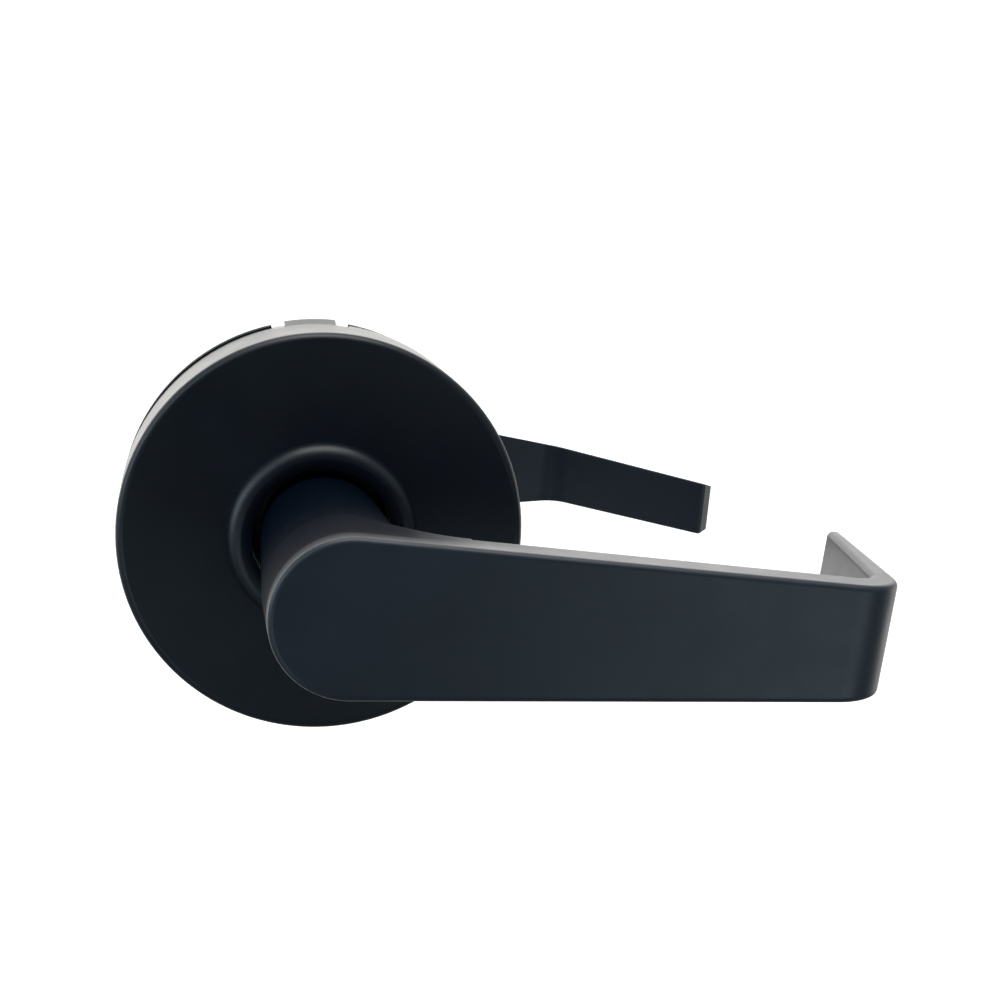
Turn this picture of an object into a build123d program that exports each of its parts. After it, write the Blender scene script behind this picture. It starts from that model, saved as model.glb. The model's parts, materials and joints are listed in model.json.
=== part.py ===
"""A two-sided passage lever set for a door, in millimetres, with its two halves closed up back to back.

+X runs along the levers, +Y goes through the door from the outside to the inside, and +Z is up. The origin
is on the levers' common axis, at the plane where the two halves meet. Every piece of a half is first made
as the outside one, with its door face at Y = 0 and its front towards -Y. Sizes called "depth" are distances
out from that door face. The inside half is the same work mirrored, with its own rose and lever.
"""
from build123d import *
from math import acos, atan2, cos, hypot, radians, sin, sqrt, tan
import os

# Driving sizes
ROSE_RADIUS = 87.3 / 2
ROSE_DEPTH = 21.5
OUTSIDE_REACH = 87.0
INSIDE_REACH = 64.5
NECK_RADIUS = 12.9
BOLT_SPACING = 69.85
SPINDLE_SIDE = 8.0
DOOR_TRAVEL = 45.0

# The stack inside a half, as depths out from the door face
GASKET_DEPTH = 2.0
PLATE_DEPTH = GASKET_DEPTH + 2.0
CAGE_DEPTH = 15.5
CAGE_WALL = 1.5
CAGE_FRONT = 2.0
CAGE_INNER_DEPTH = CAGE_DEPTH - CAGE_FRONT
CAM_START = PLATE_DEPTH + 0.8
CAM_END = CAM_START + 3.0
BUSH_START = 11.0
BUSH_FLANGE_END = CAGE_DEPTH + 1.5
NECK_END_DEPTH = BUSH_FLANGE_END + 0.5
RING_START = 9.5
RING_END = RING_START + 1.2
TUBE_REACH = 50.0

# Radii about the lever axis
SKIRT_RADIUS = ROSE_RADIUS - 0.9
INSIDE_FACE_RADIUS = 39.0
INSIDE_SKIRT_RADIUS = 41.5
ROSE_WALL = 1.5
COLLAR_RADIUS = 20.4
COLLAR_HEIGHT = 3.7
COLLAR_OPENING = 15.1
PLATE_BORE = 9.0
CAGE_RADIUS = 25.0
TUBE_RADIUS = 10.0
TUBE_BORE = 8.0
RUNNING_CLEARANCE = 0.05
OVERCUT = 1.0
BUSH_RADIUS = 12.5
BUSH_FLANGE_RADIUS = COLLAR_OPENING - 0.25
GROOVE_RADIUS = 9.2
RING_RADIUS = 13.0
SPINDLE_CLEARANCE = 0.1
SPINDLE_END = PLATE_DEPTH + DOOR_TRAVEL + 5.0
SPINDLE_EDGE = 0.5

# The cam, its stops and the return spring, as angles about the axis with 0 along +X and 90 up
LEVER_SWING = 45.0
LUG_ANGLE = 90.0
LUG_HALF = 8.0
STOP_HALF = 6.0
FINGER_ANGLE = -90.0
FINGER_HALF = 5.0
LEG_OFFSET = 8.0
WIRE_RADIUS = 0.8
COIL_RADIUS = 17.0
COIL_PITCH = 1.8
COIL_TURNS = 2.0 - 2 * LEG_OFFSET / 360.0

# Fasteners
CAGE_SCREW_X = 29.0
CAGE_SCREW_RADIUS = 1.4
CAGE_SCREW_HEAD = 2.8
SET_SCREW_DEPTH = 36.0
SET_SCREW_RADIUS = 2.5
SET_SCREW_LENGTH = 3.4
SET_SCREW_SOCKET_RADIUS = 1.3
SET_SCREW_SOCKET_DEPTH = 1.8
BOLT_HOLE_RADIUS = 2.8
NUT_BODY_RADIUS = 4.5
NUT_SHANK_RADIUS = 3.4
NUT_THREAD_RADIUS = 2.1


def ring(outer, inner, start, end):
    """A round tube or disc about the lever axis, between two depths."""
    shape = Cylinder(outer, end - start)
    if inner:
        shape -= Cylinder(inner, end - start)
    return Pos(0, -(start + end) / 2, 0) * Rot(90, 0, 0) * shape


def turned(points_of_profile):
    """Turns a closed outline of (radius, depth) corners about the lever axis."""
    outline = Polyline(*[(radius, -depth, 0) for radius, depth in points_of_profile], close=True)
    return revolve(make_face(outline), Axis.Y)


def sector(outer, inner, middle, half, start, end):
    """The part of a ring within some degrees of a middle angle."""
    reach = 2 * outer
    corners = [(0, 0)]
    for angle in (middle - half, middle, middle + half):
        corners.append((reach * cos(radians(angle)), reach * sin(radians(angle))))
    wedge = make_face(Polyline(*[(x, 0, z) for x, z in corners], close=True))
    wedge = extrude(wedge, amount=2 * ROSE_DEPTH, both=True)
    return ring(outer, inner, start, end) & wedge


def spot(x, z, radius, start, end):
    """A pin or hole parallel to the lever axis."""
    return Pos(x, 0, z) * ring(radius, 0, start, end)


def bolt_spots(radius, start, end):
    """The two through-bolt positions, above and below the axis."""
    return [spot(0, side * BOLT_SPACING / 2, radius, start, end) for side in (1, -1)]


# The rose ------------------------------------------------------------------------------------------------

FACE_EDGE_ROUND = 1.6
INSIDE_FACE_EDGE_ROUND = 4.0
COLLAR_OUTER_ROUND = 3.0
COLLAR_INNER_ROUND = 4.5
NOTCH_ANGLES = (86.3, 105.0)
NOTCH_RADIUS = 1.5
NOTCH_DEPTH = 4.0
TAB_PROUD = 0.6


def collar():
    """The raised lip round the opening, rounded over outside and inside its crest."""
    crest = ROSE_DEPTH + COLLAR_HEIGHT
    crest_radius = COLLAR_RADIUS - COLLAR_OUTER_ROUND
    reach = crest_radius - COLLAR_OPENING
    mouth = crest - COLLAR_INNER_ROUND + sqrt(COLLAR_INNER_ROUND**2 - reach**2)
    outer_middle = COLLAR_OUTER_ROUND * (1 - cos(radians(45)))
    inner_middle = COLLAR_INNER_ROUND - sqrt(COLLAR_INNER_ROUND**2 - (reach / 2) ** 2)
    back = ROSE_DEPTH - ROSE_WALL
    walls = Polyline(
        (COLLAR_OPENING, -mouth, 0),
        (COLLAR_OPENING, -back, 0),
        (COLLAR_RADIUS, -back, 0),
        (COLLAR_RADIUS, -(crest - COLLAR_OUTER_ROUND), 0),
    )
    outer = ThreePointArc(
        (COLLAR_RADIUS, -(crest - COLLAR_OUTER_ROUND), 0),
        (COLLAR_RADIUS - outer_middle, -(crest - outer_middle), 0),
        (crest_radius, -crest, 0),
    )
    inner = ThreePointArc(
        (crest_radius, -crest, 0),
        (crest_radius - reach / 2, -(crest - inner_middle), 0),
        (COLLAR_OPENING, -mouth, 0),
    )
    return revolve(make_face(Curve() + [walls, outer, inner]), Axis.Y)


def rim_notches(skirt_radius, start, end):
    """Round-ended slots in the rim on both sides of the tab, from one depth to another."""
    slots = []
    for angle in NOTCH_ANGLES:
        x = skirt_radius * cos(radians(angle))
        z = skirt_radius * sin(radians(angle))
        straight = Box(2 * NOTCH_RADIUS, end - start, 4 * ROSE_WALL)
        slot = Cylinder(NOTCH_RADIUS, 4 * ROSE_WALL) + Pos(0, (end - start) / 2, 0) * straight
        slots.append(Pos(x, -end, z) * Rot(0, 90 - angle, 0) * slot)
    return slots


def rim_sector(outer, inner, start, end):
    """The part of a ring between the two notches."""
    middle = sum(NOTCH_ANGLES) / 2
    half = (NOTCH_ANGLES[1] - NOTCH_ANGLES[0]) / 2
    return sector(outer, inner, middle, half, start, end)


def rose(face_radius, skirt_radius, edge_round):
    """A cup with a tapering skirt, a round front edge and a collar, and a pull tab between two notches."""
    inner_face = ROSE_DEPTH - ROSE_WALL
    profile = [
        (skirt_radius, GASKET_DEPTH),
        (face_radius, ROSE_DEPTH),
        (COLLAR_OPENING, ROSE_DEPTH),
        (COLLAR_OPENING, inner_face),
        (face_radius - ROSE_WALL, inner_face),
        (skirt_radius - ROSE_WALL, GASKET_DEPTH),
    ]
    cup = turned(profile)
    circles = cup.edges().filter_by(GeomType.CIRCLE)
    front_edge = circles.filter_by(lambda e: abs(e.radius - face_radius) < 0.01)
    cup = fillet(front_edge, edge_round) + collar()
    tab = turned([
        (skirt_radius, NOTCH_DEPTH),
        (skirt_radius + TAB_PROUD, 0),
        (skirt_radius - ROSE_WALL, 0),
        (skirt_radius - ROSE_WALL, NOTCH_DEPTH),
    ])
    cup += tab & rim_sector(2 * skirt_radius, 0, 0, NOTCH_DEPTH)
    return cup - rim_notches(skirt_radius, 0, NOTCH_DEPTH)


# The mounting side: gasket, plate, nuts ------------------------------------------------------------------

CLIP_ANGLES = (30.0, 150.0, 270.0)
CLIP_HALF = 9.0
CLIP_DEPTH = 9.0
CLIP_WALL = 1.2
PLATE_ROOM = 0.3
GASKET_INNER = 28.0
GASKET_INSET = 1.3
GASKET_OFFSET = 1.7
GASKET_OFFSET_ANGLE = 121.0
GASKET_HOLE_ROOM = 0.4
NUT_LENGTH = 7.0


def gasket(skirt_radius):
    """The foam ring between plate and door, a little off centre, left open where the rose's tab goes."""
    x = GASKET_OFFSET * cos(radians(GASKET_OFFSET_ANGLE))
    z = GASKET_OFFSET * sin(radians(GASKET_OFFSET_ANGLE))
    foam = spot(x, z, skirt_radius - GASKET_INSET, 0, GASKET_DEPTH)
    foam -= ring(GASKET_INNER, 0, 0, GASKET_DEPTH)
    foam -= bolt_spots(BOLT_HOLE_RADIUS + GASKET_HOLE_ROOM, 0, GASKET_DEPTH)
    foam -= rim_sector(2 * skirt_radius, skirt_radius - ROSE_WALL - PLATE_ROOM, 0, GASKET_DEPTH)
    return foam - rim_notches(skirt_radius, 0, GASKET_DEPTH)


def room_in_skirt(face_radius, skirt_radius, depth):
    """The largest radius that goes inside a rose's tapering skirt as far out as a depth."""
    share = (depth - GASKET_DEPTH) / (ROSE_DEPTH - GASKET_DEPTH)
    at_depth = skirt_radius + share * (face_radius - skirt_radius)
    return min(skirt_radius, at_depth) - ROSE_WALL - PLATE_ROOM


def mounting_plate(bolt_hole_radius, face_radius, skirt_radius):
    """The steel plate that the rose pushes onto, with three bent clips that grip the rose's skirt."""
    plate_radius = room_in_skirt(face_radius, skirt_radius, PLATE_DEPTH)
    plate = ring(plate_radius, PLATE_BORE, GASKET_DEPTH, PLATE_DEPTH)
    clip_radius = room_in_skirt(face_radius, skirt_radius, CLIP_DEPTH)
    for angle in CLIP_ANGLES:
        plate += sector(clip_radius, clip_radius - CLIP_WALL, angle, CLIP_HALF, PLATE_DEPTH, CLIP_DEPTH)
    plate -= bolt_spots(bolt_hole_radius, 0, CLIP_DEPTH)
    for x in (CAGE_SCREW_X, -CAGE_SCREW_X):
        plate -= spot(x, 0, CAGE_SCREW_RADIUS, 0, PLATE_DEPTH)
    return plate


def clinch_nuts():
    """The two threaded nuts pressed into the outside plate, which the through bolts screw into."""
    nuts = []
    for shank, body, bore in zip(
        bolt_spots(NUT_SHANK_RADIUS, GASKET_DEPTH, PLATE_DEPTH),
        bolt_spots(NUT_BODY_RADIUS, PLATE_DEPTH, PLATE_DEPTH + NUT_LENGTH),
        bolt_spots(NUT_THREAD_RADIUS, 0, PLATE_DEPTH + NUT_LENGTH),
    ):
        nuts.append(shank + body - bore)
    return Compound(children=nuts)


# The works: cage, bush, cam, spring, tube, ring ----------------------------------------------------------

EAR_WIDTH = 8.0
EAR_DEPTH = PLATE_DEPTH + 1.5
STOP_INNER = 20.0
STOP_ROOM = 1.0
POST_INNER = 21.2
POST_ROOM = 0.7
FINGER_ROOM = 0.8
FINGER_OUTER = POST_INNER - FINGER_ROOM
COIL_ROOM = 0.9
COIL_LIFT = 0.5
LEG_ROOM = 0.6
CAM_HUB_LENGTH = 4.0
SCREW_HEAD_TOP = EAR_DEPTH + 2.0
SCREW_HEAD_ROUND = 0.8
SCREW_TIP_DEPTH = GASKET_DEPTH + 0.2
SCREW_SLOT_LENGTH = 4.0
SCREW_SLOT_DEPTH = 0.8
SCREW_SLOT_WIDTH = 0.7
RING_GAP_HALF = 12.0
SPINDLE_START = -TUBE_REACH + 4.0
LUG_RADIUS = 22.8
CAM_RADIUS = 15.0


def spring_cage():
    """The steel drum on the plate. It carries the bush, the spring's post and the two lever stops."""
    cage = ring(CAGE_RADIUS, CAGE_RADIUS - CAGE_WALL, PLATE_DEPTH, CAGE_DEPTH)
    cage += ring(CAGE_RADIUS, BUSH_RADIUS, CAGE_INNER_DEPTH, CAGE_DEPTH)
    for side in (1, -1):
        middle = LUG_ANGLE + side * (LUG_HALF + LEVER_SWING + STOP_ROOM + STOP_HALF)
        cage += sector(CAGE_RADIUS, STOP_INNER, middle, STOP_HALF, PLATE_DEPTH, CAM_END)
        ear_middle = side * (CAGE_RADIUS + CAGE_SCREW_X + EAR_WIDTH / 2) / 2
        ear_length = CAGE_SCREW_X + EAR_WIDTH / 2 - CAGE_RADIUS
        ear_y = -(PLATE_DEPTH + EAR_DEPTH) / 2
        cage += Pos(ear_middle, ear_y, 0) * Box(ear_length + OVERCUT, EAR_DEPTH - PLATE_DEPTH, EAR_WIDTH)
        cage -= spot(side * CAGE_SCREW_X, 0, CAGE_SCREW_RADIUS, PLATE_DEPTH, EAR_DEPTH)
    post_start = CAM_END + POST_ROOM
    return cage + sector(CAGE_RADIUS, POST_INNER, FINGER_ANGLE, FINGER_HALF, post_start, CAGE_INNER_DEPTH)


def cage_screws():
    """Two pan-head screws through the cage's ears into the plate."""
    screws = []
    for x in (CAGE_SCREW_X, -CAGE_SCREW_X):
        head = spot(x, 0, CAGE_SCREW_HEAD, EAR_DEPTH, SCREW_HEAD_TOP)
        head = fillet(head.edges().filter_by(GeomType.CIRCLE).sort_by(Axis.Y)[0], SCREW_HEAD_ROUND)
        slot = Box(SCREW_SLOT_LENGTH, 2 * SCREW_SLOT_DEPTH, SCREW_SLOT_WIDTH)
        shank = spot(x, 0, CAGE_SCREW_RADIUS, SCREW_TIP_DEPTH, EAR_DEPTH)
        screws.append(head + shank - Pos(x, -SCREW_HEAD_TOP, 0) * slot)
    return Compound(children=screws)


def bearing_bush():
    """The flanged bush pressed into the cage. The spindle tube turns in it."""
    bore = TUBE_RADIUS + RUNNING_CLEARANCE
    bush = ring(BUSH_RADIUS, bore, BUSH_START, CAGE_DEPTH)
    return bush + ring(BUSH_FLANGE_RADIUS, bore, CAGE_DEPTH, BUSH_FLANGE_END)


def return_cam():
    """Turns with the lever. Its lug meets the stops, its finger winds the spring, its hole drives the bar."""
    cam = ring(CAM_RADIUS, 0, CAM_START, CAM_END)
    cam += sector(LUG_RADIUS, 0, LUG_ANGLE, LUG_HALF, CAM_START, CAM_END)
    cam += sector(FINGER_OUTER, 0, FINGER_ANGLE, FINGER_HALF, CAM_START, CAM_END)
    finger_inner = COIL_RADIUS + WIRE_RADIUS + COIL_ROOM
    finger_end = CAGE_INNER_DEPTH - FINGER_ROOM
    cam += sector(FINGER_OUTER, finger_inner, FINGER_ANGLE, FINGER_HALF, CAM_END, finger_end)
    cam += ring(TUBE_BORE, 0, CAM_END, CAM_END + CAM_HUB_LENGTH)
    side = SPINDLE_SIDE + 2 * SPINDLE_CLEARANCE
    return cam - Box(side, 4 * ROSE_DEPTH, side)


def return_spring():
    """A torsion spring of round wire, whose two legs straddle the cage's post and the cam's finger."""
    first_depth = CAM_END + COIL_LIFT + WIRE_RADIUS
    rise = COIL_TURNS * COIL_PITCH
    path = Helix(pitch=COIL_PITCH, height=rise, radius=COIL_RADIUS)
    section = Plane(origin=path @ 0, z_dir=path % 0) * Circle(WIRE_RADIUS)
    coil = sweep(section, path=path, is_frenet=True)
    leg_length = CAGE_RADIUS - CAGE_WALL - LEG_ROOM - COIL_RADIUS
    legs = []
    for at in (0, 1):
        start = path @ at
        out = Vector(start.X, start.Y, 0).normalized()
        legs.append(Solid.make_cylinder(WIRE_RADIUS, leg_length, Plane(start, z_dir=out)))
    spring = coil + legs + [Pos(*(path @ at)) * Sphere(WIRE_RADIUS) for at in (0, 1)]
    spring = Rot(0, 0, FINGER_ANGLE + LEG_OFFSET) * spring
    return Pos(0, -first_depth, 0) * Rot(90, 0, 0) * spring


def spindle_tube():
    """The lever's hollow shaft, grooved for the retaining ring."""
    tube = ring(TUBE_RADIUS, TUBE_BORE, CAM_END, TUBE_REACH)
    return tube - ring(TUBE_RADIUS + OVERCUT, GROOVE_RADIUS, RING_START, RING_END)


def retaining_ring():
    """An open ring in the tube's groove, behind the bush. It keeps the lever from pulling out."""
    gap = sector(RING_RADIUS + OVERCUT, 0, 90, RING_GAP_HALF, RING_START, RING_END)
    return ring(RING_RADIUS, GROOVE_RADIUS, RING_START, RING_END) - gap


def set_screw():
    """The grub screw in the underside of the neck, which holds the lever on its tube."""
    socket = extrude(RegularPolygon(SET_SCREW_SOCKET_RADIUS, 6), SET_SCREW_SOCKET_DEPTH)
    socket_end = -SET_SCREW_LENGTH / 2
    screw = Cylinder(SET_SCREW_RADIUS, SET_SCREW_LENGTH) - Pos(0, 0, socket_end) * socket
    return Pos(0, -SET_SCREW_DEPTH, socket_end - TUBE_RADIUS) * screw


def square_spindle():
    """The square bar that joins the two levers. It slides in the inside cam as the halves part."""
    length = SPINDLE_END - SPINDLE_START
    bar = Pos(0, SPINDLE_START + length / 2, 0) * Box(SPINDLE_SIDE, length, SPINDLE_SIDE)
    return chamfer(bar.edges().filter_by(Axis.Y), SPINDLE_EDGE)


# The levers ----------------------------------------------------------------------------------------------

NECK_FLARE = 11.0
NECK_LAP = 2.0
NECK_INSET = 0.15
SPINDLE_WELL_RADIUS = 6.2
SPINDLE_WELL_IN_BLADE = 2.0
SPINDLE_ROOM = 2.0

BLADE_EDGE_ROUND = 1.2
BLADE_SPARE = 8.0
HUB_RADIUS = 15.9
BLADE_TAPER = 2.35
BLADE_THICKNESS = 8.8
BLADE_END_THINNING = 1.3
RETURN_X = 107.3
RETURN_LEAN = 0.9
RETURN_SLANT = 0.057
RETURN_TIP_DEPTH = 38.8
RETURN_TIP_THICKNESS = 2.9
RETURN_ROOT_THICKNESS = 5.0
RETURN_OUTER_ROUND = 10.5
RETURN_INNER_ROUND = 4.5
RETURN_TIP_ROUND = 1.35

INSIDE_HUB_RADIUS = 15.5
INSIDE_THICKNESS = 6.8
INSIDE_DRAFT = 15.0
INSIDE_BEND_X = 66.5
INSIDE_BEND_ANGLE = 46.5
INSIDE_BEND_LENGTH = 43.5
INSIDE_OUTER_BEND_SHIFT = 4.0
INSIDE_OUTER_BEND_ROUND = 14.0
INSIDE_INNER_BEND_ROUND = 9.0
INSIDE_TIP_FACE_ROUND = 1.2
INSIDE_TIP_BACK_ROUND = 0.6
INSIDE_WAIST_ROUND = 40.0
INSIDE_BEND_HALF_HEIGHT = 6.9
INSIDE_END_HALF_HEIGHT = 6.0
INSIDE_END_THICKNESS = 4.0


def tangent_point(hub_radius, x, z):
    """Where a line from (x, z) above the axis touches the top of the hub circle."""
    turn = atan2(z, x) + acos(hub_radius / hypot(x, z))
    return hub_radius * cos(turn), hub_radius * sin(turn)


def front_outline(hub_radius, corners, waist_round=0):
    """The blade from the front: a full-round hub and a tapering tail through (x, half height) corners."""
    touch = tangent_point(hub_radius, *corners[0])
    top = [touch, *corners]
    bottom = [(x, -z) for x, z in reversed(top)]
    tail = Polyline(*[(x, 0, z) for x, z in top + bottom])
    hub = ThreePointArc((touch[0], 0, -touch[1]), (-hub_radius, 0, 0), (touch[0], 0, touch[1]))
    face = make_face(Curve() + [tail, hub])
    if waist_round:
        waist_x = corners[0][0]
        face = fillet(face.vertices().filter_by(lambda v: abs(v.X - waist_x) < 0.01), waist_round)
    return face


def soft_edged(blade, radius):
    """Rounds a blade's long edges. Those along Z or Y are seams, where its faces run smoothly on."""
    seams = blade.edges().filter_by(Axis.Z) + blade.edges().filter_by(Axis.Y)
    return fillet([edge for edge in blade.edges() if edge not in seams], radius)


def thick(face):
    """A slab of a flat XZ outline, long enough to cut any blade from."""
    return extrude(face, amount=3 * OUTSIDE_REACH, both=True)


def plan_slab(corners, rounds, slant=0.0):
    """A slab of an outline seen from above, of (x, depth) corners, each with its own rounding.

    A slant moves it along +X as it rises, by so many millimetres in each.
    """
    face = make_face(Polyline(*[(x, -depth) for x, depth in corners], close=True))
    for (x, depth), radius in zip(corners, rounds):
        if radius:
            near = face.vertices().sort_by_distance((x, -depth, 0))[0]
            face = fillet(near, radius)
    half_height = 2 * HUB_RADIUS
    low = Pos(-slant * half_height, 0, -half_height) * face
    return Solid.extrude(low.face(), Vector(2 * slant * half_height, 0, 2 * half_height))


def neck(outline, hub_radius, back_depth):
    """The tube from the rose to the blade. It widens to the hub and flares into the tail's back."""
    flare_start = back_depth - NECK_FLARE
    wide_radius = hub_radius - NECK_INSET
    foot_radius = wide_radius + NECK_FLARE
    inside_blade = back_depth + NECK_LAP
    corners = [
        (wide_radius, flare_start),
        (NECK_RADIUS, NECK_END_DEPTH),
        (0, NECK_END_DEPTH),
        (0, inside_blade),
        (foot_radius, inside_blade),
        (foot_radius, back_depth),
    ]
    edges = Polyline(*[(radius, -depth, 0) for radius, depth in corners])
    middle = NECK_FLARE * cos(radians(45))
    flare = ThreePointArc(
        (foot_radius, -back_depth, 0),
        (foot_radius - middle, -(flare_start + middle), 0),
        (wide_radius, -flare_start, 0),
    )
    body = revolve(make_face(Curve() + [edges, flare]), Axis.Y)
    return body & thick(offset(outline, -NECK_INSET))


def finished_lever(blade, outline, hub_radius, back_depth, spindle_end):
    """Joins the blade to its neck, bores it for the tube and the spindle, and drills the set screw hole."""
    lever = blade + neck(outline, hub_radius, back_depth)
    lever -= ring(TUBE_RADIUS, 0, NECK_END_DEPTH, TUBE_REACH)
    lever -= ring(SPINDLE_WELL_RADIUS, 0, TUBE_REACH, spindle_end)
    return lever - Pos(0, -SET_SCREW_DEPTH, -hub_radius) * Cylinder(SET_SCREW_RADIUS, hub_radius)


def outside_lever():
    """Flat-faced tapering blade with a return that comes back towards the door."""
    back = OUTSIDE_REACH - BLADE_THICKNESS
    tail_x = RETURN_X + BLADE_SPARE
    tail_z = HUB_RADIUS / cos(radians(BLADE_TAPER)) - tail_x * tan(radians(BLADE_TAPER))
    outline = front_outline(HUB_RADIUS, [(tail_x, tail_z)])
    tip_x = RETURN_X + RETURN_LEAN
    corners = [
        (-HUB_RADIUS - OVERCUT, OUTSIDE_REACH),
        (RETURN_X, OUTSIDE_REACH),
        (tip_x, RETURN_TIP_DEPTH),
        (tip_x - RETURN_TIP_THICKNESS, RETURN_TIP_DEPTH),
        (RETURN_X - RETURN_ROOT_THICKNESS, back + BLADE_END_THINNING),
        (-HUB_RADIUS - OVERCUT, back),
    ]
    rounds = [0, RETURN_OUTER_ROUND, RETURN_TIP_ROUND, RETURN_TIP_ROUND, RETURN_INNER_ROUND, 0]
    slab = plan_slab(corners, rounds, RETURN_SLANT)
    blade = soft_edged(slab & thick(outline), BLADE_EDGE_ROUND)
    return finished_lever(blade, outline, HUB_RADIUS, back, back + SPINDLE_WELL_IN_BLADE)


def sloped_away(blade, edge_point, along):
    """Cuts a blade's top and bottom so that they fall away from its door side, from one edge line on."""
    level = Vector(along[0], along[1], 0).normalized()
    to_room = Vector(level.Y, -level.X, 0)
    line = Vector(*along).normalized()
    fall = to_room - Vector(0, 0, tan(radians(INSIDE_DRAFT)))
    above = line.cross(fall).normalized()
    above = above if above.Z > 0 else -above
    for sign in (1, -1):
        origin = (edge_point[0], edge_point[1], sign * edge_point[2])
        normal = (above.X, above.Y, sign * above.Z)
        blade = split(blade, bisect_by=Plane(origin=origin, z_dir=normal), keep=Keep.BOTTOM)
    return blade


def inside_lever():
    """Slimmer tapering blade that bends towards the door part of the way along."""
    back = INSIDE_REACH - INSIDE_THICKNESS
    bend = radians(INSIDE_BEND_ANGLE)
    end_x = INSIDE_BEND_X + INSIDE_BEND_LENGTH * cos(bend)
    end_depth = back - INSIDE_BEND_LENGTH * sin(bend)
    corners = [
        (-INSIDE_HUB_RADIUS - OVERCUT, INSIDE_REACH),
        (INSIDE_BEND_X + INSIDE_OUTER_BEND_SHIFT, INSIDE_REACH),
        (end_x + INSIDE_END_THICKNESS * sin(bend), end_depth + INSIDE_END_THICKNESS * cos(bend)),
        (end_x, end_depth),
        (INSIDE_BEND_X, back),
        (-INSIDE_HUB_RADIUS - OVERCUT, back),
    ]
    tip_rounds = [INSIDE_TIP_FACE_ROUND, INSIDE_TIP_BACK_ROUND]
    slab = plan_slab(corners, [0, INSIDE_OUTER_BEND_ROUND, *tip_rounds, INSIDE_INNER_BEND_ROUND, 0])
    beyond_end = end_x + 2 * INSIDE_END_THICKNESS
    tail = [(INSIDE_BEND_X, INSIDE_BEND_HALF_HEIGHT), (beyond_end, INSIDE_END_HALF_HEIGHT)]
    outline = front_outline(INSIDE_HUB_RADIUS, tail, INSIDE_WAIST_ROUND)
    section = Pos(0, -back, 0) * outline
    drafted = extrude(section, amount=2 * INSIDE_THICKNESS, dir=(0, -1, 0), taper=INSIDE_DRAFT)
    straight = extrude(section, amount=back, dir=(0, 1, 0))
    blade = slab & (drafted + straight)
    run = beyond_end - INSIDE_BEND_X
    edge_point = (INSIDE_BEND_X, -back, INSIDE_BEND_HALF_HEIGHT)
    along = (run, run * tan(bend), INSIDE_END_HALF_HEIGHT - INSIDE_BEND_HALF_HEIGHT)
    blade = sloped_away(blade, edge_point, along)
    return finished_lever(blade, outline, INSIDE_HUB_RADIUS, back, SPINDLE_END + SPINDLE_ROOM)


# Putting the set together --------------------------------------------------------------------------------

def half_pieces():
    """The pieces that both halves have alike, made as the outside ones."""
    return {
        "spring_cage": spring_cage(),
        "cage_screws": cage_screws(),
        "bearing_bush": bearing_bush(),
        "return_cam": return_cam(),
        "return_spring": return_spring(),
        "spindle_tube": spindle_tube(),
        "retaining_ring": retaining_ring(),
        "set_screw": set_screw(),
    }


def all_nodes():
    """Every node of the set by name."""
    nodes = {}
    for name, shape in half_pieces().items():
        nodes[f"outside_{name}"] = shape
        nodes[f"inside_{name}"] = mirror(shape, Plane.XZ)
    nodes["outside_rose"] = rose(ROSE_RADIUS, SKIRT_RADIUS, FACE_EDGE_ROUND)
    nodes["outside_gasket"] = gasket(SKIRT_RADIUS)
    nodes["outside_mounting_plate"] = mounting_plate(NUT_SHANK_RADIUS, ROSE_RADIUS, SKIRT_RADIUS)
    inside_rose = rose(INSIDE_FACE_RADIUS, INSIDE_SKIRT_RADIUS, INSIDE_FACE_EDGE_ROUND)
    inside_plate = mounting_plate(BOLT_HOLE_RADIUS, INSIDE_FACE_RADIUS, INSIDE_SKIRT_RADIUS)
    nodes["inside_rose"] = mirror(inside_rose, Plane.XZ)
    nodes["inside_gasket"] = mirror(gasket(INSIDE_SKIRT_RADIUS), Plane.XZ)
    nodes["inside_mounting_plate"] = mirror(inside_plate, Plane.XZ)
    nodes["outside_lever"] = outside_lever()
    nodes["inside_lever"] = mirror(inside_lever(), Plane.XZ)
    nodes["clinch_nuts"] = clinch_nuts()
    nodes["square_spindle"] = square_spindle()
    return nodes


os.makedirs("parts", exist_ok=True)
for node_name, node_shape in all_nodes().items():
    export_step(node_shape, f"parts/{node_name}.step")
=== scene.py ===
"""Looks for a matt black two-sided passage lever set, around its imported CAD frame, in metres."""
import json
import math

import bpy
from mathutils import Matrix, Vector


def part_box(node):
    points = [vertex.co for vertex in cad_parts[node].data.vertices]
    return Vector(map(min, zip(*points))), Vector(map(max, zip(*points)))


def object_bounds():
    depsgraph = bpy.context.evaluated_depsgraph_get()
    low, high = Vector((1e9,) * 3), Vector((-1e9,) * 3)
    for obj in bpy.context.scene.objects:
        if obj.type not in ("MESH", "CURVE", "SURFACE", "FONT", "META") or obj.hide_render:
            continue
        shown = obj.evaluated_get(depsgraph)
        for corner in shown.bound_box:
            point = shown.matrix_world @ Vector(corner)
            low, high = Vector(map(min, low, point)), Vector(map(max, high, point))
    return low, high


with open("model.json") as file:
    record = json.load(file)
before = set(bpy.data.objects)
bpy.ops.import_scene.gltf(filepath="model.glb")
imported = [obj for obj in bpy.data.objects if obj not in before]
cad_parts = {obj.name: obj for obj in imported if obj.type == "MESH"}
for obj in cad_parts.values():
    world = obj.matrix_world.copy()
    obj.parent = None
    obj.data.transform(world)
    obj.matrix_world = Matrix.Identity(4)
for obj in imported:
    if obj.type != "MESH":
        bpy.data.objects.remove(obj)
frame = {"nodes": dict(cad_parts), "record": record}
cad_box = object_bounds()


# Camera --------------------------------------------------------------------------------------------------

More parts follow.
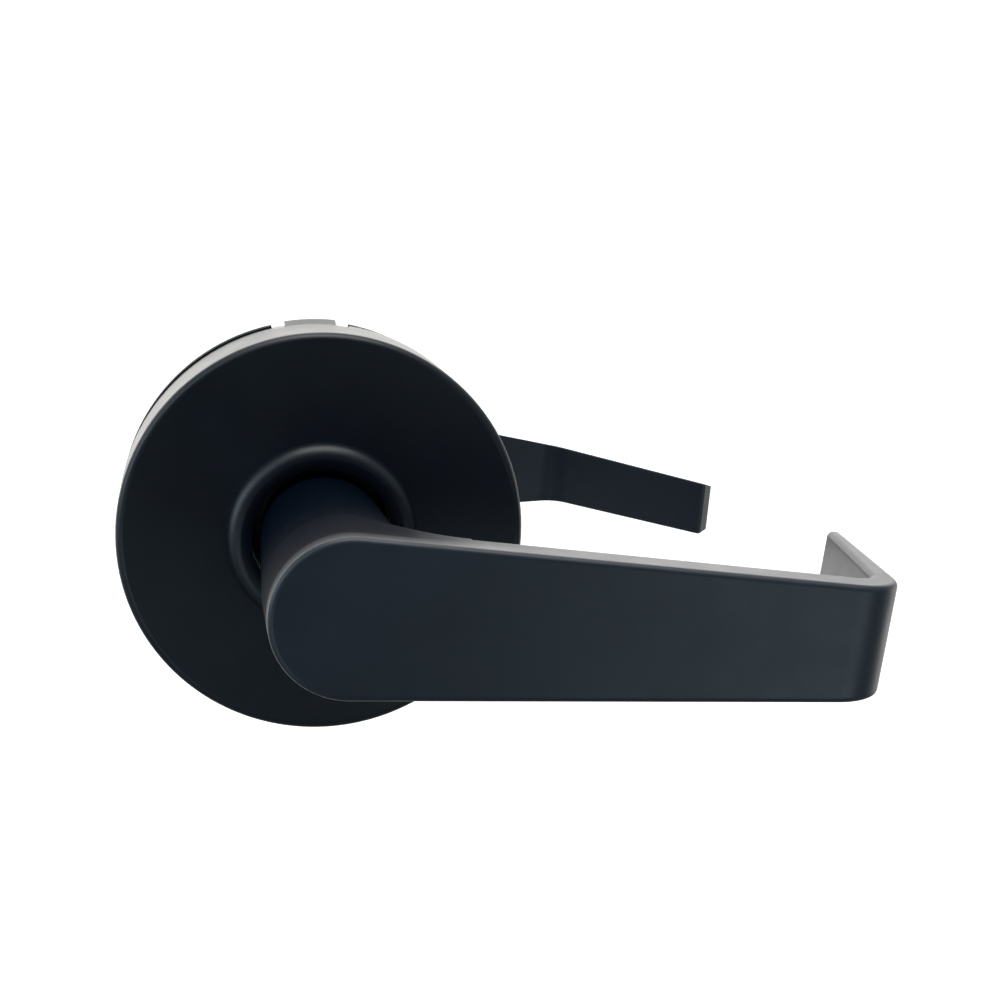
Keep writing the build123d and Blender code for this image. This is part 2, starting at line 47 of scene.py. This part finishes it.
FOCAL_LENGTH = 80.7
EYE_FROM_ROSE = Vector((-0.0504, -0.4642, 0.1141))
AIM_FROM_ROSE = Vector((0.0378, 0.0, 0.0100))
ROLL = math.radians(5.71)
SENSOR_WIDTH = 36.0
NEAR_CLIP = 0.01
COLLAR_HEIGHT = 0.0037


def rose_face_centre():
    """Where the levers' axis meets the flat face of the outside rose, behind its raised collar."""
    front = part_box("outside_rose")[0][1]
    return Vector((0.0, front + COLLAR_HEIGHT, 0.0))


def make_camera():
    """Looks down and a little to the right at the set, from in front and to the left of it."""
    centre = rose_face_centre()
    eye = centre + EYE_FROM_ROSE
    forward = (centre + AIM_FROM_ROSE - eye).normalized()
    level_right = forward.cross(Vector((0, 0, 1))).normalized()
    level_up = level_right.cross(forward)
    right = level_right * math.cos(ROLL) + level_up * math.sin(ROLL)
    up = right.cross(forward)
    camera = bpy.data.objects.new("camera", bpy.data.cameras.new("camera"))
    bpy.context.scene.collection.objects.link(camera)
    turn = Matrix((right, up, -forward)).transposed().to_4x4()
    camera.matrix_world = Matrix.Translation(eye) @ turn
    camera.data.lens = FOCAL_LENGTH
    camera.data.sensor_width = SENSOR_WIDTH
    camera.data.clip_start = NEAR_CLIP
    bpy.context.scene.camera = camera


# Material helpers ----------------------------------------------------------------------------------------

PATCH_START = 0.3
PATCH_END = 0.7
EDGE_SAMPLES = 6
SOFTENING_SAMPLES = 8
EDGE_START = 0.90
EDGE_END = 0.995


class Nodes:
    """A new material whose shader nodes are added and joined by short calls."""

    def __init__(self, name):
        self.material = bpy.data.materials.new(name)
        self.material.use_nodes = True
        self.tree = self.material.node_tree
        self.shader = self.tree.nodes["Principled BSDF"]
        coords = self.tree.nodes.new("ShaderNodeTexCoord")
        self.place = coords.outputs["Object"]

    def add(self, kind, **settings):
        node = self.tree.nodes.new(kind)
        for key, value in settings.items():
            setattr(node, key, value)
        return node

    def join(self, source, target):
        self.tree.links.new(source, target)

    def noise(self, scale, detail=3.0, roughness=0.5, stretch=None):
        """A noise value over the object's own coordinates; scale is in cells a metre."""
        texture = self.add("ShaderNodeTexNoise")
        texture.inputs["Scale"].default_value = scale
        texture.inputs["Detail"].default_value = detail
        texture.inputs["Roughness"].default_value = roughness
        place = self.place
        if stretch:
            mapping = self.add("ShaderNodeMapping")
            mapping.inputs["Scale"].default_value = stretch
            self.join(place, mapping.inputs["Vector"])
            place = mapping.outputs["Vector"]
        self.join(place, texture.inputs["Vector"])
        return texture.outputs["Fac"]

    def span(self, value, low, high, start=0.0, end=1.0):
        """Maps a value from start..end to low..high."""
        node = self.add("ShaderNodeMapRange")
        node.inputs["From Min"].default_value = start
        node.inputs["From Max"].default_value = end
        node.inputs["To Min"].default_value = low
        node.inputs["To Max"].default_value = high
        self.join(value, node.inputs["Value"])
        return node.outputs["Result"]

    def patches(self, noise, low, high):
        """Spreads the middle of a noise's values over low..high."""
        return self.span(noise, low, high, PATCH_START, PATCH_END)

    def mix(self, share, first, second):
        """Mixes two colours, each a tuple or an output, by a value from 0 to 1."""
        node = self.add("ShaderNodeMix", data_type="RGBA")
        self.join(share, node.inputs["Factor"])
        for socket, colour in ((node.inputs[6], first), (node.inputs[7], second)):
            if isinstance(colour, tuple):
                socket.default_value = (*colour, 1.0)
            else:
                self.join(colour, socket)
        return node.outputs[2]

    def times(self, first, second):
        node = self.add("ShaderNodeMath", operation="MULTIPLY")
        for socket, value in zip(node.inputs, (first, second)):
            if isinstance(value, float):
                socket.default_value = value
            else:
                self.join(value, socket)
        return node.outputs[0]

    def plus(self, first, second):
        node = self.add("ShaderNodeMath", operation="ADD")
        for socket, value in zip(node.inputs, (first, second)):
            if isinstance(value, float):
                socket.default_value = value
            else:
                self.join(value, socket)
        return node.outputs[0]

    def worn_edges(self, reach):
        """1 on convex edges, 0 elsewhere, from the difference between the true and the rounded normal."""
        bevel = self.add("ShaderNodeBevel", samples=EDGE_SAMPLES)
        bevel.inputs["Radius"].default_value = reach
        geometry = self.add("ShaderNodeNewGeometry")
        dot = self.add("ShaderNodeVectorMath", operation="DOT_PRODUCT")
        self.join(bevel.outputs["Normal"], dot.inputs[0])
        self.join(geometry.outputs["Normal"], dot.inputs[1])
        return self.span(dot.outputs["Value"], 1.0, 0.0, EDGE_START, EDGE_END)

    def bump(self, height, strength, distance, soften=0.0):
        """Roughens the surface by a height, and rounds its edges to a radius if one is given."""
        node = self.add("ShaderNodeBump")
        if soften:
            bevel = self.add("ShaderNodeBevel", samples=SOFTENING_SAMPLES)
            bevel.inputs["Radius"].default_value = soften
            self.join(bevel.outputs["Normal"], node.inputs["Normal"])
        node.inputs["Strength"].default_value = strength
        node.inputs["Distance"].default_value = distance
        self.join(height, node.inputs["Height"])
        self.join(node.outputs["Normal"], self.shader.inputs["Normal"])

    def set(self, **values):
        """Sets constants on the shader's own sockets."""
        for name, value in values.items():
            self.shader.inputs[name.replace("_", " ")].default_value = value


# Materials -----------------------------------------------------------------------------------------------

# Both blacks, and the duller neck, are chosen to give the tones of the picture that this set is made from.
# The lever's black is a lighter copy of the rose's black: painted light for the light that falls on the
# lever's face. The neck's rose black and low sheen are painted shade.
ROSE_BLACK = (0.0014, 0.0035, 0.0085)
LEVER_BLACK_PAINTED_LIT = (0.0110, 0.0150, 0.0235)
CLOUD_LIFT = 1.45
RUBBED_LIFT = 4.5
RUBBED_SHARE = 0.5
RUBBED_REACH = 0.0009
LEVER_SOFTNESS = 0.0006
BLADE_SHEEN = 0.5
# Low sheen on the neck, as part of its painted shade.
NECK_SHADE_SHEEN = 0.03
POWDER_GRAIN = 5200.0
POWDER_PEEL = POWDER_GRAIN / 5
POWDER_PEEL_SHARE = 0.8
POWDER_CLOUD = 38.0
POWDER_SCUFF = 240.0
POWDER_SMEAR = 90.0
POWDER_RELIEF = 0.000012

# Where the painted shade on the neck ends: by distance out from the door, and along the lever.
NECK_SHADED_TO = 0.0820
NECK_CLEAR_FROM = 0.0866
INSIDE_SHORTER_BY = 0.0225
TAIL_START = 0.010
TAIL_END = 0.045

STEEL_SPANGLE = 420.0
STEEL_LINES = 900.0
STEEL_EDGE_REACH = 0.0005
STEEL_EDGE_LIFT = 1.35
FOAM_PORES = 2600.0
FOAM_DUST = 160.0
FOAM_DARK = (0.006, 0.006, 0.007)
FOAM_DUSTY = (0.014, 0.014, 0.015)
NYLON_FLOW = 300.0
NYLON_DARK = (0.008, 0.008, 0.009)
NYLON_LIGHT = (0.016, 0.016, 0.017)


def lifted(colour, by):
    """A colour made lighter by a factor."""
    return tuple(value * by for value in colour)


def clear_of_neck_shade(paint):
    """1 on the blade's face and tail, and 0 on the neck and round the hub, which get painted shade: a
    darker black and far less sheen.
    """
    split = paint.add("ShaderNodeSeparateXYZ")
    paint.join(paint.place, split.inputs["Vector"])
    depth = paint.add("ShaderNodeMath", operation="MAXIMUM")
    paint.join(paint.times(split.outputs["Y"], -1.0), depth.inputs[0])
    paint.join(paint.plus(split.outputs["Y"], INSIDE_SHORTER_BY), depth.inputs[1])
    on_face = paint.span(depth.outputs[0], 0.0, 1.0, NECK_SHADED_TO, NECK_CLEAR_FROM)
    on_tail = paint.span(split.outputs["X"], 0.0, 1.0, TAIL_START, TAIL_END)
    return paint.span(paint.plus(on_face, on_tail), 0.0, 1.0)


def powder_coat(name, black, gloss_low, gloss_high, neck_painted_shade=None):
    """Matt black powder coat: fine orange-peel grain, faint clouding, and edges rubbed a little paler.
    Given a neck colour, it also paints shade on the neck and the hub's sides.
    """
    paint = Nodes(name)
    cloud = paint.noise(POWDER_CLOUD, detail=4.0, roughness=0.6)
    grain = paint.noise(POWDER_GRAIN, detail=2.0, roughness=0.6)
    peel = paint.noise(POWDER_PEEL, detail=2.0)
    base = paint.mix(paint.patches(cloud, 0.0, 1.0), black, lifted(black, CLOUD_LIFT))
    soften = 0.0
    # Painted shade: the neck and the hub's sides get a darker black and far less sheen than the blade's
    # face.
    if neck_painted_shade:
        soften = LEVER_SOFTNESS
        blade = clear_of_neck_shade(paint)
        base = paint.mix(blade, neck_painted_shade, base)
        paint.join(paint.span(blade, NECK_SHADE_SHEEN, BLADE_SHEEN), paint.shader.inputs["Specular IOR Level"])
    edges = paint.worn_edges(RUBBED_REACH)
    scuff = paint.noise(POWDER_SCUFF, detail=5.0, roughness=0.7)
    patchy = paint.span(scuff, 0.15, 0.8, 0.35, 0.7)
    worn = paint.times(edges, paint.times(patchy, RUBBED_SHARE))
    rubbed = paint.mix(worn, base, lifted(black, RUBBED_LIFT))
    paint.join(rubbed, paint.shader.inputs["Base Color"])
    smear = paint.noise(POWDER_SMEAR, detail=5.0, roughness=0.65)
    paint.join(paint.patches(smear, gloss_low, gloss_high), paint.shader.inputs["Roughness"])
    relief = paint.plus(grain, paint.times(peel, POWDER_PEEL_SHARE))
    paint.bump(relief, 0.30, POWDER_RELIEF, soften)
    paint.set(IOR=1.5)
    return paint.material


def sheet_steel(name, colour, tint, gloss):
    """Zinc-plated steel: cool spangle, fine drawn lines, brighter rubbed edges."""
    steel = Nodes(name)
    spangle = steel.noise(STEEL_SPANGLE, detail=4.0, roughness=0.7)
    lines = steel.noise(STEEL_LINES, detail=3.0, stretch=(1.0, 9.0, 1.0))
    base = steel.mix(steel.span(spangle, 0.0, 1.0, 0.35, 0.65), colour, tint)
    edges = steel.worn_edges(STEEL_EDGE_REACH)
    bright = lifted(colour, STEEL_EDGE_LIFT)
    steel.join(steel.mix(steel.times(edges, 0.6), base, bright), steel.shader.inputs["Base Color"])
    steel.join(steel.patches(lines, gloss - 0.07, gloss + 0.10), steel.shader.inputs["Roughness"])
    steel.bump(lines, 0.25, 0.00002)
    steel.set(Metallic=1.0)
    return steel.material


def foam_rubber():
    """Black closed-cell foam: small pores and a dusty bloom."""
    foam = Nodes("foam_rubber")
    pores = foam.add("ShaderNodeTexVoronoi")
    pores.inputs["Scale"].default_value = FOAM_PORES
    foam.join(foam.place, pores.inputs["Vector"])
    dust = foam.noise(FOAM_DUST, detail=5.0, roughness=0.7)
    base = foam.mix(foam.span(dust, 0.0, 1.0, 0.35, 0.7), FOAM_DARK, FOAM_DUSTY)
    foam.join(base, foam.shader.inputs["Base Color"])
    foam.join(foam.patches(dust, 0.78, 0.94), foam.shader.inputs["Roughness"])
    foam.bump(pores.outputs["Distance"], 0.5, 0.0001)
    foam.set(Specular_IOR_Level=0.25)
    return foam.material


def nylon():
    """Black nylon: slightly waxy, with flow marks."""
    bush = Nodes("bush_polymer")
    flow = bush.noise(NYLON_FLOW, detail=3.0, stretch=(1.0, 0.3, 1.0))
    base = bush.mix(bush.patches(flow, 0.0, 1.0), NYLON_DARK, NYLON_LIGHT)
    bush.join(base, bush.shader.inputs["Base Color"])
    bush.join(bush.patches(flow, 0.40, 0.55), bush.shader.inputs["Roughness"])
    bush.bump(flow, 0.2, 0.00003)
    bush.set(Specular_IOR_Level=0.35)
    return bush.material


def make_materials():
    """One material for each slot of the record."""
    return {
        "rose_paint": powder_coat("rose_paint", ROSE_BLACK, 0.36, 0.43),
        # Lever paint: a lighter black as painted light on the lever's face, and the rose's black on the
        # neck as painted shade.
        "lever_paint": powder_coat("lever_paint", LEVER_BLACK_PAINTED_LIT, 0.36, 0.44, ROSE_BLACK),
        "foam_rubber": foam_rubber(),
        "zinc_steel": sheet_steel("zinc_steel", (0.58, 0.58, 0.55), (0.66, 0.64, 0.58), 0.38),
        "screw_steel": sheet_steel("screw_steel", (0.46, 0.46, 0.47), (0.54, 0.53, 0.50), 0.32),
        "spring_steel": sheet_steel("spring_steel", (0.16, 0.16, 0.17), (0.22, 0.21, 0.20), 0.30),
        "tube_steel": sheet_steel("tube_steel", (0.48, 0.48, 0.49), (0.54, 0.54, 0.54), 0.28),
        "cam_iron": sheet_steel("cam_iron", (0.22, 0.22, 0.23), (0.28, 0.27, 0.27), 0.50),
        "spindle_steel": sheet_steel("spindle_steel", (0.50, 0.50, 0.51), (0.57, 0.56, 0.54), 0.30),
        "bush_polymer": nylon(),
    }


def dress_nodes(materials):
    """Gives every CAD node the material of its slot in the record."""
    for part in frame["record"]["subparts"]:
        node = frame["nodes"][part["node"]]
        node.data.materials.clear()
        node.data.materials.append(materials[part["material_slot"]])


# Stage and light -----------------------------------------------------------------------------------------

FLOOR_DROP = 0.16
FLOOR_SIZE = 60.0
FLOOR_DARK = (0.86, 0.86, 0.86)
FLOOR_LIGHT = (0.90, 0.90, 0.90)
FLOOR_GLOW = (1.0, 1.0, 1.0, 1.0)


def make_floor():
    """A large pale floor some way below the set, which a door would hold up."""
    level = cad_box[0][2] - FLOOR_DROP
    half = FLOOR_SIZE / 2
    mesh = bpy.data.meshes.new("floor")
    corners = [(-half, -half, level), (half, -half, level), (half, half, level), (-half, half, level)]
    mesh.from_pydata(corners, [], [(0, 1, 2, 3)])
    floor = bpy.data.objects.new("floor", mesh)
    bpy.context.scene.collection.objects.link(floor)
    pale = Nodes("floor_pale")
    tone = pale.noise(3.0, detail=2.0)
    pale.join(pale.mix(tone, FLOOR_DARK, FLOOR_LIGHT), pale.shader.inputs["Base Color"])
    pale.set(Roughness=0.9, Specular_IOR_Level=0.1)
    pale.set(Emission_Color=FLOOR_GLOW, Emission_Strength=0.5)
    mesh.materials.append(pale.material)
    floor.visible_glossy = False
    floor.visible_diffuse = False


WORLD_STRENGTH = 2.6
COOL_WHITE = (0.78, 0.93, 1.0)
WARM_WHITE = (1.0, 0.985, 0.950)
WORLD_STOPS = (
    (-0.92, COOL_WHITE, 0.020),
    (-0.55, COOL_WHITE, 0.200),
    (0.40, COOL_WHITE, 0.200),
    (0.88, WARM_WHITE, 1.000),
)
LOW_SKY = -0.26
HIGH_SKY = 0.02
LOW_SHARE = 0.43
RIGHT_SHADE = 0.5


def front_to_back(tree, along_y):
    """The sky's colour by its direction along Y, from dark in front of the set to warm white behind it."""
    along = tree.nodes.new("ShaderNodeMapRange")
    along.inputs["From Min"].default_value = -1.0
    ramp = tree.nodes.new("ShaderNodeValToRGB")
    ramp.color_ramp.interpolation = "EASE"
    elements = ramp.color_ramp.elements
    while len(elements) < len(WORLD_STOPS):
        elements.new(1.0)
    for element, (direction, colour, share) in zip(elements, WORLD_STOPS):
        element.position = (direction + 1) / 2
        element.color = (*lifted(colour, share), 1.0)
    tree.links.new(along_y, along.inputs["Value"])
    tree.links.new(along.outputs["Result"], ramp.inputs["Fac"])
    return ramp.outputs["Color"]


def low_right_shade(tree, along_x, along_z):
    """A factor that dims the sky low down, and dims it higher up towards the right."""
    height = tree.nodes.new("ShaderNodeMath")
    height.operation = "MULTIPLY_ADD"
    height.inputs[1].default_value = -RIGHT_SHADE
    dimming = tree.nodes.new("ShaderNodeMapRange")
    dimming.interpolation_type = "SMOOTHSTEP"
    dimming.inputs["From Min"].default_value = LOW_SKY
    dimming.inputs["From Max"].default_value = HIGH_SKY
    dimming.inputs["To Min"].default_value = LOW_SHARE
    tree.links.new(along_x, height.inputs[0])
    tree.links.new(along_z, height.inputs[2])
    tree.links.new(height.outputs["Value"], dimming.inputs["Value"])
    return dimming.outputs["Result"]


def make_world():
    """A soft sky: dark in front, cool at the sides and warm white behind, dimmer low on the right."""
    world = bpy.data.worlds.new("world")
    world.use_nodes = True
    tree = world.node_tree
    background = tree.nodes["Background"]
    background.inputs["Strength"].default_value = WORLD_STRENGTH
    coords = tree.nodes.new("ShaderNodeTexCoord")
    direction = tree.nodes.new("ShaderNodeSeparateXYZ")
    tree.links.new(coords.outputs["Generated"], direction.inputs["Vector"])
    shaded = tree.nodes.new("ShaderNodeVectorMath")
    shaded.operation = "SCALE"
    colour = front_to_back(tree, direction.outputs["Y"])
    shade = low_right_shade(tree, direction.outputs["X"], direction.outputs["Z"])
    tree.links.new(colour, shaded.inputs[0])
    tree.links.new(shade, shaded.inputs["Scale"])
    tree.links.new(shaded.outputs["Vector"], background.inputs["Color"])
    bpy.context.scene.world = world
    bpy.context.scene.view_settings.view_transform = "Standard"


def area_light(name, place, aim, size, brightness, colour):
    """A soft square light of some radiance at a place, turned to an aim point."""
    light = bpy.data.lights.new(name, "AREA")
    light.shape = "SQUARE"
    light.size = size
    light.energy = brightness * math.pi * size * size
    light.color = colour
    lamp = bpy.data.objects.new(name, light)
    lamp.location = place
    lamp.rotation_euler = (Vector(aim) - Vector(place)).to_track_quat("-Z", "Y").to_euler()
    bpy.context.scene.collection.objects.link(lamp)


LAMP_WHITE = (1.0, 0.98, 0.95)
LAMP_COOL = (0.75, 0.92, 1.0)


def make_lights():
    """A strong broad light above, two on the left, one on the right, and two low in front for the faces."""
    area_light("above", (0.0, -0.15, 0.80), (0.03, 0.0, 0.0), 0.60, 3.6, LAMP_WHITE)
    area_light("high_left", (-0.50, -0.40, 0.40), (0.0, 0.0, 0.0), 0.34, 1.3, LAMP_COOL)
    area_light("left_side", (-0.75, -0.20, 0.12), (0.0, -0.02, 0.0), 0.45, 2.4, LAMP_COOL)
    area_light("low_left", (-0.17, -0.42, -0.20), (-0.02, -0.02, 0.0), 0.22, 1.2, LAMP_COOL)
    area_light("low_right", (0.30, -0.47, -0.11), (0.09, -0.08, 0.0), 0.30, 1.35, LAMP_COOL)
    area_light("right_side", (0.75, 0.25, -0.05), (0.1, -0.06, 0.0), 0.40, 1.5, LAMP_WHITE)


make_camera()
dress_nodes(make_materials())
make_floor()
make_world()
make_lights()
